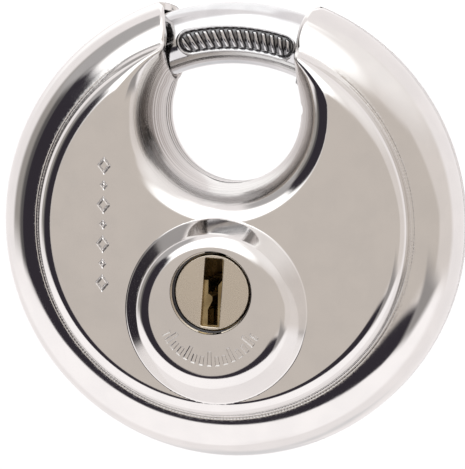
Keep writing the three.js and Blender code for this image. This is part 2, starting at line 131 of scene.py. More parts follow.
# The bar, placed by turns in degrees about the disc and rolls about its own axis, and its ribbed slot.
BAR = (bar_high[1] - bar_low[1]) / 2
BAR_RING = -CENTRE_Z + BAR
BAR_TIP, BAR_TAIL = -36.0, 104.0
BAR_FLAT_FROM = 64.0
BAR_FLAT = 3.9
BAR_EDGE = 0.9
BAR_STEP = 1.5
BAR_FIRST = -33.0
SLOT_AT = 1.5
SLOT_ROLL = -9.8
SLOT_LENGTH = 9.0
SLOT_WIDTH = 1.8
SLOT_DEPTH = 0.65
SLOT_WALL = 0.2
SLOT_RIM = 0.09
SLOT_RIM_WIDTH = 0.12
RIB_STEP = 1.25
RIB_HALF = 0.36
RIB_LEAN = 0.35
RIB_REACH = 1.45
RIB_HEIGHT = 0.6
RIB_FLANK = 0.14
RIB_END = 0.16
RIB_FROM_WALL = (0.3, 0.5)
SLOT_PAST = 0.5
SLOT_BESIDE = 0.4
SLOT_TURN_STEP = 0.16
SLOT_ROLL_STEP = 1.1
BAR_ROLL_STEP = 4.0

# The plug's face, with its keyway.
CAP = 5.5
CAP_FRONT = 14.25
CAP_BACK = 13.5
CAP_EDGE = 0.15
KEY_HALF = 1.4
KEY_REACH = 5.05
KEY_CORNER = 0.3
KEY_LEAN = math.radians(3)
KEY_LIP = ((0.12, 0.0), (0.035, 0.035), (0.0, 0.12))
CAP_POINTS = 120

# How closely the shell's points are set: counts round a ring or along a line, and steps.

RIM_POINTS = 320
THROAT_POINTS = 180
END_POINTS = 60
DISC_RING_POINTS = 360
FLARE_RING_POINTS = 220
BOSS_RING_POINTS = 240
PLUG_RING_POINTS = 120
HOLE_STEP = 3.0
CURVE_STEP = 3.5
BEAD_FROM = 29.2
CURVE_FROM = 5.0
FLARE_RING_GAPS = (0.25, 0.6)
FLARE_RINGS_TO = 25.3
FLAT_GRID = 24
FLAT_GRID_TO = 24.8
FLAT_GAP = 0.8
HORN_GRID_X = (-20, 20)
HORN_GRID_Z = (14, 26)
HORN_GRID_GAP = 0.6
HORN_GRID_PAST = 1.5
GROOVE_TO = 27.6
GROOVE_STEP = 0.05
EDGE_TO = 25.2
EDGE_STEP = 0.1
FLAT_STEP = 2.4
HORN_STEP = 0.3
MARK_STEP = 0.06
TICK_MIDDLE_RINGS = (7.2, 7.6)
TICK_OUTER_RINGS = (8.4, 8.8)
BOSS_FIRST_RINGS = (-0.03, 0.0)
BOSS_RING_STEP = 0.04
BOSS_RINGS_TO = 1.5
BOSS_OVERLAP = 0.5
PLUG_CLEAR = 0.7
PLUG_RING_GAPS = (0.15, 0.4)
ROW_HALF = 1.1
ROW_GRID = 0.1
END_ROWS = (0.03, 0.08, 0.16, 0.26, 0.38, 0.52, 0.68, 0.85)
END_CLEAR = 0.95
END_SETTLE = 1.5
END_FRACTIONS = (0.15, 0.3, 0.5, 0.7, 0.85)
SEAM_ROUND = ((0, 0.15), (0.04, 0.04), (0.15, 0))
BORE_DROPS = (CHAMFER, CHAMFER + 0.5, WALL)
CHORD = 0.9999
WELD = 1e-6
ON_EDGE = 0.005
EDGE_CLEAR = 0.01
MOUTH_CLEAR = 0.09
END_ROW_CLEAR = 0.03


def place(points, side=-1):
    """Points given as (x, z, height) about the disc's centre become metres in the frame's axes."""
    p = np.asarray(points, dtype=float)
    return np.stack([p[..., 0], side * p[..., 2], p[..., 1] + CENTRE_Z], axis=-1) * MM


# ------------------------------------------------------------------ blending helpers

def smooth_max(a, b, k):
    """The greater of two heights, rounded where they are within k of each other."""
    near = np.clip(k - np.abs(a - b), 0, None) / k
    return np.maximum(a, b) + near * near * k / 4


def smooth_min(a, b, k):
    """The lesser of the two, rounded the same way."""
    return -smooth_max(-a, -b, k)


def ramp(low, high, value):
    """A smooth step from 0 at low to 1 at high."""
    t = np.clip((value - low) / (high - low), 0, 1)
    return t * t * (3 - 2 * t)


# ------------------------------------------------------------------ the pressed shell as one height function

def mouth_edge(z, right):
    """How far a horn's end stands from the middle, splaying out near the rim to a rounded corner."""
    splay = HORN_SPLAY * np.clip(z - HORN_SPLAY_Z, 0, None) ** 2
    corner = CORNER_SPLAY * np.clip(z - CORNER_Z, 0, None) ** 2
    return np.where(right, RIGHT_HORN, LEFT_HORN) + splay + corner


def mouth_slope(z):
    """How fast the horn's end turns away as it rises."""
    splay = 2 * HORN_SPLAY * np.clip(z - HORN_SPLAY_Z, 0, None)
    return splay + 2 * CORNER_SPLAY * np.clip(z - CORNER_Z, 0, None)


def from_end(x, z):
    """How far inside a horn's end a point lies, measured square to the end."""
    return (np.abs(x) - mouth_edge(z, x > 0)) / np.hypot(1, mouth_slope(z))


def end_facing(x, z):
    """The way a horn's end faces, as (x, z)."""
    slope = mouth_slope(z)
    return np.stack([-np.sign(x), slope], axis=-1) / np.hypot(1, slope)[..., None]


def tube_height(rho):
    """The round bead, taken on round its inner side where it becomes a horn."""
    return SKIRT + np.sqrt(np.clip(BEAD ** 2 - (rho - BEAD_RING) ** 2, 0, None))


def trumpet_height(d):
    """The flared wall of the opening: a tight curve at the lip and an easy one down to the seam."""
    lip_run = FLARE_CURVE * math.sin(FLARE_TILT)
    lip_drop = FLARE_CURVE * (1 - math.cos(FLARE_TILT))
    wall_curve = (FLARE - lip_run - HOLE) / (1 - math.sin(FLARE_TILT))
    t = np.clip(FLARE - d, 0, lip_run)
    lip = PLATEAU - FLARE_CURVE + np.sqrt(FLARE_CURVE ** 2 - t ** 2)
    sine = np.clip(math.sin(FLARE_TILT) + (FLARE - lip_run - d) / wall_curve, math.sin(FLARE_TILT), 1)
    wall = PLATEAU - lip_drop - wall_curve * (math.cos(FLARE_TILT) - np.sqrt(1 - sine ** 2))
    return np.where(d > FLARE - lip_run, lip, wall)


def edge_round(t):
    """The plateau with its rounded edge, running on steeply: t is the distance past the flat."""
    bend = np.clip(t, 0, EDGE_CURVE * math.sin(EDGE_TILT))
    rounded = EDGE_CURVE - np.sqrt(EDGE_CURVE ** 2 - bend ** 2)
    return PLATEAU - rounded - math.tan(EDGE_TILT) * np.clip(t - EDGE_CURVE * math.sin(EDGE_TILT), 0, None)


def boss_height(x, z):
    """A flat top, a rounded edge and a cone down to the plateau, deeper below than above."""
    d = np.maximum(np.hypot(x, z - BOSS_Z), 1e-6)
    width = BOSS_WIDTH - BOSS_DROOP * (z - BOSS_Z) / d
    t = (d - BOSS_FLAT) * BOSS_WIDTH / width
    bend = np.clip(t, 0, BOSS_CURVE_RUN)
    rounded = BOSS_CURVE - np.sqrt(BOSS_CURVE ** 2 - bend ** 2)
    end_drop = BOSS_CURVE - math.sqrt(BOSS_CURVE ** 2 - BOSS_CURVE_RUN ** 2)
    cone = (BOSS_TOP - PLATEAU - end_drop) / (BOSS_WIDTH - BOSS_CURVE_RUN)
    return BOSS_TOP - rounded - cone * np.clip(t - BOSS_CURVE_RUN, 0, None)


def boss_ticks(x, z):
    """Short radial marks engraved in an arc below the keyhole, every third one longer."""
    r = np.hypot(x, z - BOSS_Z)
    turn = np.degrees(np.arctan2(x, BOSS_Z - z)) + TICK_STEP / 2
    count = np.floor(turn / TICK_STEP)
    across = np.abs(np.mod(turn, TICK_STEP) - TICK_STEP / 2)
    start = np.where(np.mod(count, TICKS_PER_LONG) == 0, TICK_IN, TICK_SHORT_IN)
    along = np.minimum(r - start, TICK_OUT - r)
    bar = ramp(0, TICK_WALL, TICK_HALF + TICK_WALL - across) * ramp(0, TICK_END, along)
    return bar * (np.abs(turn - TICK_STEP / 2) < TICK_SPAN)


def lozenge_row(x, z):
    """A plain row of engraved lozenges, large and small in turn, down the left of the plateau."""
    nearest = np.clip(np.round(z / LOZENGE_STEP), -(LOZENGES // 2), LOZENGES // 2)
    size = LOZENGE_HALF * np.where(np.mod(nearest, 2) == 1, 1.0, LOZENGE_SMALL)
    reach = size - (LOZENGE_SLIM * np.abs(x - LOZENGE_X) + np.abs(z - nearest * LOZENGE_STEP))
    return ramp(*LOZENGE_OUTER, reach) - ramp(*LOZENGE_INNER, reach)


def horn_edge(x, z):
    """How much the horn's end is rounded over, by distance from its end."""
    radius = np.where(x > 0, RIGHT_EDGE, LEFT_EDGE)
    away = np.clip(from_end(x, z), 0, radius)
    drop = radius - np.sqrt(radius ** 2 - (radius - away) ** 2)
    return np.where(z > HOLE_Z, drop, 0)


def body_height(x, z, detail=True):
    """Plateau, groove, bead and the flared opening, the same on both halves."""
    rho = np.hypot(x, z)
    d = np.hypot(x, z - HOLE_Z)
    pad = edge_round(rho - FLAT_RING)
    h = smooth_max(pad, tube_height(rho), FLAT_BLEND + HORN_BLEND * ramp(*HORN_RISE, z))
    if detail:
        fade = 1 - ramp(*RIM_MARKS_FADE, z)
        h = h - GROOVE_DEPTH * fade * np.exp(-((rho - GROOVE_RING) / GROOVE_WIDTH) ** 2)
        h = h - POLISH_DEPTH * fade * np.exp(-((rho - POLISH_RING) / POLISH_WIDTH) ** 2)
    return smooth_min(h, trumpet_height(d), FLARE_HORN_BLEND * ramp(*FLARE_HORN_RISE, z) + FLARE_BLEND)


def height(x, z, side, detail=True):
    """The outer skin of one half: side is -1 for the front and 1 for the rear."""
    h = body_height(x, z, detail)
    if side < 0:
        h = smooth_max(h, boss_height(x, z), BOSS_BLEND)
        if detail:
            h = h - TICK_DEPTH * boss_ticks(x, z) - LOZENGE_DEPTH * lozenge_row(x, z)
    return h - horn_edge(x, z) if detail else h


def skin_normals(x, z, side, detail=True):
    """Outward unit normals, as (x, z, height)."""
    step = 1e-4
    slope_x = (height(x + step, z, side, detail) - height(x - step, z, side, detail)) / (2 * step)
    slope_z = (height(x, z + step, side, detail) - height(x, z - step, side, detail)) / (2 * step)
    n = np.stack([-slope_x, -slope_z, np.ones_like(x)], axis=-1)
    rho = np.hypot(x, z)
    rim = rho > RADIUS - ON_EDGE
    n[rim] = np.stack([x / rho, z / rho, 0 * x], axis=-1)[rim]
    d = np.hypot(x, z - HOLE_Z)
    throat = d < HOLE + ON_EDGE
    n[throat] = np.stack([-x / d, -(z - HOLE_Z) / d, 0 * x], axis=-1)[throat]
    end = (from_end(x, z) < ON_EDGE) & (z > HOLE_Z)
    if detail:
        n[end] = np.column_stack([end_facing(x, z), 0 * x])[end]
    return n / np.linalg.norm(n, axis=-1, keepdims=True)


# ------------------------------------------------------------------ where the shell's points go

def circle(radius, degrees, z=0.0):
    """Points on a circle about (0, z), by angle clockwise from the top."""
    a = np.radians(degrees)
    return np.stack([radius * np.sin(a), z + radius * np.cos(a)], axis=-1)


RIM_SEARCH = 25.0
HOLE_SEARCH = 26.0
HALVINGS = 50


def crossing(level, low, high):
    """The z at which a rising function of z passes zero, by bisection."""
    for _ in range(HALVINGS):
        middle = (low + high) / 2
        low, high = (middle, high) if level(middle) < 0 else (low, middle)
    return low


def horn_end(right):
    """The line of a horn's end, from the rim in to the opening."""
    tip = crossing(lambda z: math.hypot(mouth_edge(z, right), z) - RADIUS, RIM_SEARCH, RADIUS + 1)
    foot = crossing(lambda z: math.hypot(mouth_edge(z, right), z - HOLE_Z) - HOLE, HOLE_Z, HOLE_SEARCH)
    z = np.linspace(tip, foot, END_POINTS)
    sign = 1 if right else -1
    return np.stack([sign * mouth_edge(z, right), z], axis=-1)


def outline():
    """The edge of one half: rim, left horn's end, round the opening, right horn's end."""
    right, left = horn_end(True), horn_end(False)
    rim_angles = [math.degrees(math.atan2(abs(p[0]), p[1])) for p in (right[0], left[0])]
    hole_angles = [math.degrees(math.atan2(abs(p[0]), p[1] - HOLE_Z)) for p in (right[-1], left[-1])]
    rim = circle(RADIUS, np.linspace(rim_angles[0], 360 - rim_angles[1], RIM_POINTS))
    throat = circle(HOLE, np.linspace(360 - hole_angles[1], hole_angles[0], THROAT_POINTS), HOLE_Z)
    left, right = left[1:-1], right[1:-1][::-1]
    kinds = ["rim"] * len(rim) + ["end"] * len(left) + ["throat"] * len(throat) + ["end"] * len(right)
    return np.concatenate([rim, left, throat, right]), kinds


def rings(radii, count, z=0.0):
    """Circles about (0, z), each turned half a step from the last."""
    turn = np.arange(count) * 360 / count
    return np.concatenate([circle(r, turn + (i % 2) * 180 / count, z) for i, r in enumerate(radii)])


def boss_rings(parts, count):
    """Rings down the boss's shoulder, which is wider below than above."""
    turn = np.radians(np.arange(count) * 360 / count)
    rows = []
    for part in parts:
        radius = BOSS_FLAT + part * (BOSS_WIDTH - BOSS_DROOP * np.cos(turn))
        rows.append(np.stack([radius * np.sin(turn), BOSS_Z + radius * np.cos(turn)], axis=-1))
    return np.concatenate(rows)


def grid(x_low, x_high, z_low, z_high, step):
    """The points of a square grid over a box."""
    columns = np.arange(x_low, x_high, step)
    rows = np.arange(z_low, z_high, step)
    return np.stack(np.meshgrid(columns, rows), axis=-1).reshape(-1, 2)


def above_body(points):
    """How far the boss's surface stands above the rest of the front."""
    return boss_height(*points.T) - body_height(*points.T, detail=False)


def front_points(sets):
    """The front half's points: the boss, its marks and the lozenges instead of what lies under them."""
    off_boss = [np.hypot(s[:, 0], s[:, 1] - BOSS_Z) > BOSS_FLAT for s in sets]
    sets = [s[off & (above_body(s) < BOSS_OVERLAP)] for s, off in zip(sets, off_boss)]
    marks = [TICK_IN, TICK_IN + MARK_STEP, TICK_IN + TICK_END,
             TICK_SHORT_IN, TICK_SHORT_IN + MARK_STEP, TICK_SHORT_IN + TICK_END, *TICK_MIDDLE_RINGS,
             TICK_OUT - TICK_END, TICK_OUT - MARK_STEP, TICK_OUT, *TICK_OUTER_RINGS]
    turn = 180 + np.arange(-TICK_SPAN - TICK_STEP, TICK_SPAN + TICK_STEP + 0.01, TICK_WALL / 2)
    boss = [circle(r, turn, BOSS_Z) for r in marks]
    shoulder = np.arange(BOSS_RING_STEP, 1, BOSS_RING_STEP)
    foot = np.arange(1, BOSS_RINGS_TO, BOSS_RING_STEP / 2)
    boss.append(boss_rings(np.concatenate([BOSS_FIRST_RINGS, shoulder, foot]), BOSS_RING_POINTS))
    boss = np.concatenate(boss)
    boss = boss[np.hypot(boss[:, 0], boss[:, 1] - PLUG_Z) > PLUG_HOLE + PLUG_CLEAR]
    boss = boss[above_body(boss) > -BOSS_OVERLAP]
    reach = LOZENGES * LOZENGE_STEP / 2
    sets = [s[(np.abs(s[:, 0] - LOZENGE_X) > ROW_HALF + ROW_GRID) | (np.abs(s[:, 1]) > reach + ROW_GRID)]
            for s in sets]
    row = grid(LOZENGE_X - ROW_HALF, LOZENGE_X + ROW_HALF + 0.01, -reach, reach, ROW_GRID)
    about_plug = rings(PLUG_HOLE + CHAMFER + np.array(PLUG_RING_GAPS), PLUG_RING_POINTS, PLUG_Z)
    return sets + [boss, row, about_plug]


def shell_points(side):
    """Inner points, dense where the surface curves and laid along its rings."""
    bead = BEAD_RING + BEAD * np.cos(np.radians(np.arange(CURVE_FROM, 90, CURVE_STEP)))
    groove = np.arange(BEAD_FROM, GROOVE_TO, -GROOVE_STEP)
    edge = np.arange(GROOVE_TO, EDGE_TO, -EDGE_STEP)
    about_disc = rings(np.concatenate([bead[bead > BEAD_FROM], groove, edge]), DISC_RING_POINTS)
    flare = HOLE + (FLARE - HOLE) * (1 - np.cos(np.radians(np.arange(CURVE_FROM, 91, CURVE_STEP))))
    about_hole = np.concatenate([flare, FLARE + np.array(FLARE_RING_GAPS)])
    about_hole = rings(about_hole, FLARE_RING_POINTS, HOLE_Z)
    about_hole = about_hole[np.hypot(*about_hole.T) < FLARE_RINGS_TO]
    flat = grid(-FLAT_GRID, FLAT_GRID + 1, -FLAT_GRID, FLAT_GRID + 1, FLAT_STEP)
    from_hole = np.hypot(flat[:, 0], flat[:, 1] - HOLE_Z)
    flat = flat[(np.hypot(*flat.T) < FLAT_GRID_TO) & (from_hole > FLARE + FLAT_GAP)]
    by_horns = grid(*HORN_GRID_X, *HORN_GRID_Z, HORN_STEP)
    far = np.hypot(by_horns[:, 0], by_horns[:, 1] - HOLE_Z)
    near_rim = np.hypot(*by_horns.T) < HORN_GRID_Z[1]
    by_horns = by_horns[near_rim & (far > HOLE + HORN_GRID_GAP) & (far < FLARE + HORN_GRID_PAST)]
    sets = [about_disc, about_hole, flat, by_horns]
    if side < 0:
        sets = front_points(sets)
    points = np.concatenate(sets)
    return points[clear_of_edges(points)]


def in_mouth(p, gap=0.0):
    """Whether points lie between the horns' ends, or within a gap of them."""
    return (np.abs(p[:, 0]) < mouth_edge(p[:, 1], p[:, 0] > 0) + gap) & (p[:, 1] > HOLE_Z)


def clear_of_edges(p):
    """Whether points keep off the outline, so that no sliver of a triangle forms there."""
    rho = np.hypot(p[:, 0], p[:, 1])
    d = np.hypot(p[:, 0], p[:, 1] - HOLE_Z)
    return (rho < RADIUS - EDGE_CLEAR) & (d > HOLE + EDGE_CLEAR) & ~in_mouth(p, MOUTH_CLEAR)


def edge_offsets(loop, kinds):
    """Extra rows of points just inside the horns' ends, to carry their rounded edges."""
    ends = loop[[k == "end" for k in kinds]]
    points = np.concatenate([ends - away * end_facing(*ends.T) for away in END_ROWS])
    rho = np.hypot(*points.T)
    d = np.hypot(points[:, 0], points[:, 1] - HOLE_Z)
    return points[(rho < RADIUS - END_ROW_CLEAR) & (d > HOLE + END_ROW_CLEAR)]


# ------------------------------------------------------------------ mesh building

def finish_mesh(name, vertices, faces, normals=None):
    """A linked object from its vertices and faces; a zero normal leaves that vertex's to Blender."""
    mesh = bpy.data.meshes.new(name)
    mesh.from_pydata([tuple(v) for v in vertices], [], [tuple(f) for f in faces])
    mesh.validate()
    mesh.polygons.foreach_set("use_smooth", [True] * len(mesh.polygons))
    if normals is not None:
        mesh.normals_split_custom_set_from_vertices([tuple(n) for n in normals])
    mesh.update()
    piece = bpy.data.objects.new(name, mesh)
    bpy.context.scene.collection.objects.link(piece)
    return piece


def seam_rows(point, kind):
    """The cut edge at one point of the rim or the throat: down the wall, under the seam and up inside."""
    x, z, h = point
    centre = np.array([0.0, 0.0 if kind == "rim" else HOLE_Z])
    out = np.array([x, z]) - centre
    out /= np.linalg.norm(out)
    inward = -out if kind == "rim" else out
    rounded = [(depth, SEAM + rise) for depth, rise in SEAM_ROUND]
    steps = [(0, (h + SEAM) / 2), *rounded, (WALL, SEAM), (WALL, h)]
    return [np.array([*(np.array([x, z]) + depth * inward), level]) for depth, level in steps]


def end_rows(point, inner):
    """The cut edge at one point of a horn's end, straight across the wall."""
    return [point * (1 - t) + inner * t for t in END_FRACTIONS]


def triangulate(loop, kinds, side):
    """The half's plan as triangles: its points, its faces, its outline's points and the plug hole's."""
    inner = shell_points(side)
    points = [loop, edge_offsets(loop, kinds), inner[~in_mouth(inner, END_CLEAR)]]
    edges = [(i, (i + 1) % len(loop)) for i in range(len(loop))]
    first = sum(len(p) for p in points)
    hole = []
    if side < 0:
        points.append(circle(PLUG_HOLE + CHAMFER, np.arange(0, 360, HOLE_STEP), PLUG_Z))
        hole = range(first, first + len(points[-1]))
        edges += [(i, first + (i - first + 1) % len(hole)) for i in hole]
    result = delaunay_2d_cdt([Vector(p) for p in np.concatenate(points)], edges, [], 0, WELD)
    xz = np.array([tuple(v) for v in result[0]])
    triangles = np.array(result[2])
    middle = xz[triangles].mean(axis=1)
    keep = (np.hypot(*middle.T) < RADIUS) & ~in_mouth(middle)
    keep &= np.hypot(middle[:, 0], middle[:, 1] - HOLE_Z) > HOLE * CHORD
    if side < 0:
        keep &= np.hypot(middle[:, 0], middle[:, 1] - PLUG_Z) > PLUG_HOLE + CHAMFER - ON_EDGE
    triangles = triangles[keep]
    a, b, c = (xz[triangles[:, i]] for i in range(3))
    clockwise = np.cross(b - a, c - a) < 0
    triangles[clockwise] = triangles[clockwise][:, ::-1]
    index = {o[0]: i for i, o in enumerate(result[3]) if o}
    return xz, triangles, [index[i] for i in range(len(loop))], [index[i] for i in hole]


def strips(columns, flip):
    """Quads between neighbouring columns of vertices, round a closed loop."""
    faces = []
    for here, there in zip(columns, columns[1:] + columns[:1]):
        for j in range(len(here) - 1):
            quad = (here[j], here[j + 1], there[j + 1], there[j])
            faces.append(quad[::-1] if flip else quad)
    return faces


def build_shell(name, side):
    """One half: its outer skin, the inner skin a wall's thickness in, and the cut edges between them."""
    loop, kinds = outline()
    xz, triangles, edge, rim = triangulate(loop, kinds, side)
    x, z = xz.T
    outer = np.stack([x, z, height(x, z, side)], axis=-1)
    normals = skin_normals(x, z, side)
    inward = skin_normals(x, z, side, detail=False)
    inward[:, 0] *= np.where(z > HOLE_Z, ramp(0, END_SETTLE, from_end(x, z)), 1)
    under = np.stack([x, z, height(x, z, side, detail=False)], axis=-1) - WALL * inward

    shift = len(xz)
    extra = []

    def column(vertex, points):
        """One line of vertices across a cut edge, from the outer skin to the inner."""
        first = 2 * shift + len(extra)
        extra.extend(points)
        return [vertex, *range(first, first + len(points)), vertex + shift]

    wall = []
    for vertex, kind in zip(edge, kinds):
        if kind == "end":
            under[vertex, 0] = outer[vertex, 0]
            wall.append(column(vertex, end_rows(outer[vertex], under[vertex])))
        else:
            *rows, under[vertex] = seam_rows(outer[vertex], kind)
            wall.append(column(vertex, rows))
    faces = [tuple(t[::-1]) if side > 0 else tuple(t) for t in triangles]
    faces += [tuple(t + shift) if side > 0 else tuple(t[::-1] + shift) for t in triangles]
    faces += strips(wall, flip=side > 0)
    bore = []
    for vertex in rim:
        direction = (xz[vertex] - (0, PLUG_Z)) / (PLUG_HOLE + CHAMFER)
        x_in, z_in = (0, PLUG_Z) + PLUG_HOLE * direction
        bore.append(column(vertex, [np.array([x_in, z_in, BOSS_TOP - drop]) for drop in BORE_DROPS]))
    if bore:
        faces += strips(bore, flip=True)

    vertices = place(np.concatenate([outer, under, np.array(extra)]), side)
    facing = np.zeros_like(vertices)
    facing[:shift] = normals[:, [0, 2, 1]] * np.array([1, side, 1])
    return finish_mesh(name, vertices, faces, facing)


front = build_shell("front_body_shell", -1)
rear = build_shell("rear_body_shell", 1)
for piece_made, node in ((front, "front_shell"), (rear, "rear_shell")):
    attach(piece_made, "case")
    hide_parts(node)


# ------------------------------------------------------------------ the shackle

def slot_relief(along, across):
    """Height added to the bar's surface by the sunken slot, its raised rim and its slanted ribs."""
    inside = SLOT_WIDTH - np.hypot(np.clip(np.abs(along) - (SLOT_LENGTH - SLOT_WIDTH), 0, None), across)
    sunk = -SLOT_DEPTH * ramp(0, SLOT_WALL, inside)
    rim = SLOT_RIM * np.exp(-((inside + SLOT_RIM_WIDTH) / SLOT_RIM_WIDTH) ** 2)
    u = np.abs(np.mod(along + RIB_LEAN * across, RIB_STEP) - RIB_STEP / 2)
    rib = ramp(0, RIB_FLANK, RIB_HALF - u) * ramp(0, RIB_END, RIB_REACH - np.abs(across))
    return sunk + rim + RIB_HEIGHT * rib * ramp(*RIB_FROM_WALL, inside)


def bar_point(turn, roll):
    """A point of the bar's surface: turn is round the disc, roll round the bar's own section, 0 in front."""
    along = np.radians(turn - SLOT_AT) * BAR_RING
    across = np.radians(roll - SLOT_ROLL) * BAR
    near = (np.abs(along) < SLOT_LENGTH + 1) & (np.abs(across) < SLOT_WIDTH + 1)
    from_tip = np.radians(turn - BAR_TIP) * BAR_RING
    t = np.clip(BAR_EDGE - from_tip, 0, BAR_EDGE)
    radius = BAR - BAR_EDGE + np.sqrt(BAR_EDGE ** 2 - t ** 2) + np.where(near, slot_relief(along, across), 0)
    a, b = np.radians(turn), np.radians(roll)
    rho = BAR_RING + radius * np.sin(b)
    level = radius * np.cos(b)
    level = np.where(turn > BAR_FLAT_FROM, np.maximum(level, -BAR_FLAT), level)
    return place(np.stack([rho * np.sin(a), rho * np.cos(a), level], axis=-1))


def build_bar(name):
    """The bar as a lattice of turns and rolls, finer about the slot, with flat ends."""
    reach = math.degrees((SLOT_LENGTH + SLOT_PAST) / BAR_RING)
    tip = BAR_TIP + np.degrees(BAR_EDGE / BAR_RING) * (1 - np.cos(np.radians(np.arange(0, 91, 15))))
    turns = np.concatenate([
        tip,
        np.arange(BAR_FIRST, SLOT_AT - reach, BAR_STEP),
        np.arange(SLOT_AT - reach, SLOT_AT + reach, SLOT_TURN_STEP),
        np.arange(SLOT_AT + reach, BAR_FLAT_FROM - 1, BAR_STEP),
        [BAR_FLAT_FROM, BAR_FLAT_FROM + 0.01],
        np.arange(BAR_FLAT_FROM + BAR_STEP, BAR_TAIL + 0.1, BAR_STEP)])
    band = math.degrees((SLOT_WIDTH + SLOT_BESIDE) / BAR)
    rolls = np.concatenate([
        np.arange(SLOT_ROLL - band, SLOT_ROLL + band, SLOT_ROLL_STEP),
        np.arange(SLOT_ROLL + band, SLOT_ROLL - band + 359, BAR_ROLL_STEP)])
    turn, roll = np.meshgrid(turns, rolls, indexing="ij")
    vertices = bar_point(turn, roll)
    rows, columns = turn.shape
    points = [tuple(p) for p in vertices.reshape(-1, 3)]
    faces = []
    for i in range(rows - 1):
        for j in range(columns):
            k = (j + 1) % columns
            faces.append((i * columns + j, (i + 1) * columns + j, (i + 1) * columns + k, i * columns + k))
    faces.append(tuple(range(columns)))
    faces.append(tuple((rows - 1) * columns + j for j in reversed(range(columns))))
    return finish_mesh(name, points, faces)


bar = build_bar("shackle_bar")
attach(bar, "shackle_assembly")
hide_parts("shackle")


# ------------------------------------------------------------------ the plug's face

def key_outline(grow=0.0):
    """The keyway's rounded rectangle, leaning a little, about the plug's centre."""
    half, reach = KEY_HALF + grow, KEY_REACH + grow
    corner = KEY_CORNER + grow
    points = []
    for sx, sz, start in ((1, 1, 0), (-1, 1, 90), (-1, -1, 180), (1, -1, 270)):
        for degrees in np.linspace(start, start + 90, 6):
            a = math.radians(degrees)
            x, z = corner * math.cos(a), corner * math.sin(a)
            points.append((sx * (half - corner) + x, sz * (reach - corner) + z))
    x, z = np.array(points).T
    c, s = math.cos(KEY_LEAN), math.sin(KEY_LEAN)
    return np.stack([c * x + s * z, c * z - s * x], axis=-1)


def build_cap(name):
    """A disc with a softly rounded rim and the keyway through it."""
    around = np.arange(CAP_POINTS) * 360 / CAP_POINTS
    bends = np.radians(np.arange(0, 91, 22.5))
    rim = [(circle(CAP - CAP_EDGE * (1 - math.sin(a)), around), CAP_FRONT - CAP_EDGE * (1 - math.cos(a)))
           for a in bends]
    rim.append((circle(CAP, around), CAP_BACK))
    key = [(key_outline(grow), CAP_FRONT - drop) for grow, drop in KEY_LIP] + [(key_outline(), CAP_BACK)]
    loops = rim + key
    starts = np.cumsum([0] + [len(p) for p, _ in loops])
    vertices = np.concatenate([np.insert(p, 2, h, axis=1) for p, h in loops]) + (0, PLUG_Z, 0)
    faces = []
    for j in (*range(len(rim) - 1), *range(len(rim), len(loops) - 1)):
        n = len(loops[j][0])
        a, b = starts[j], starts[j + 1]
        faces += [(a + i, a + (i + 1) % n, b + (i + 1) % n, b + i) for i in range(n)]
    faces += ring_faces(loops, starts, 0, len(rim))
    faces += [face[::-1] for face in ring_faces(loops, starts, len(rim) - 1, len(loops) - 1)]
    facing = np.zeros_like(vertices)
    for j in (0, len(rim)):
        facing[starts[j]:starts[j + 1]] = (0, -1, 0)
    return finish_mesh(name, place(vertices), faces, facing)


def ring_faces(loops, starts, outside, inside):
    """The flat face between the rim's loop and the keyway's."""
    around, key = loops[outside][0], loops[inside][0]
    ids = [*range(starts[outside], starts[outside + 1]), *range(starts[inside], starts[inside + 1])]
    n, m = len(around), len(key)
    edges = [(i, (i + 1) % n) for i in range(n)] + [(n + i, n + (i + 1) % m) for i in range(m)]
    result = delaunay_2d_cdt([Vector(p) for p in np.concatenate([around, key])], edges, [], 0, WELD)
    middles = [np.mean([result[0][j] for j in face], axis=0) for face in result[2]]
    return [tuple(ids[result[3][j][0]] for j in face)
            for face, middle in zip(result[2], middles) if not inside_loop(middle, key)]


def inside_loop(point, loop):
    """Whether the point is inside a convex loop, whichever way it runs."""
    side = [np.cross(loop[(i + 1) % len(loop)] - loop[i], point - loop[i]) for i in range(len(loop))]
    return min(side) > 0 or max(side) < 0


cap = build_cap("plug_face")
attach(cap, "plug_assembly")
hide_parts("plug_cap")


# ------------------------------------------------------------------ materials

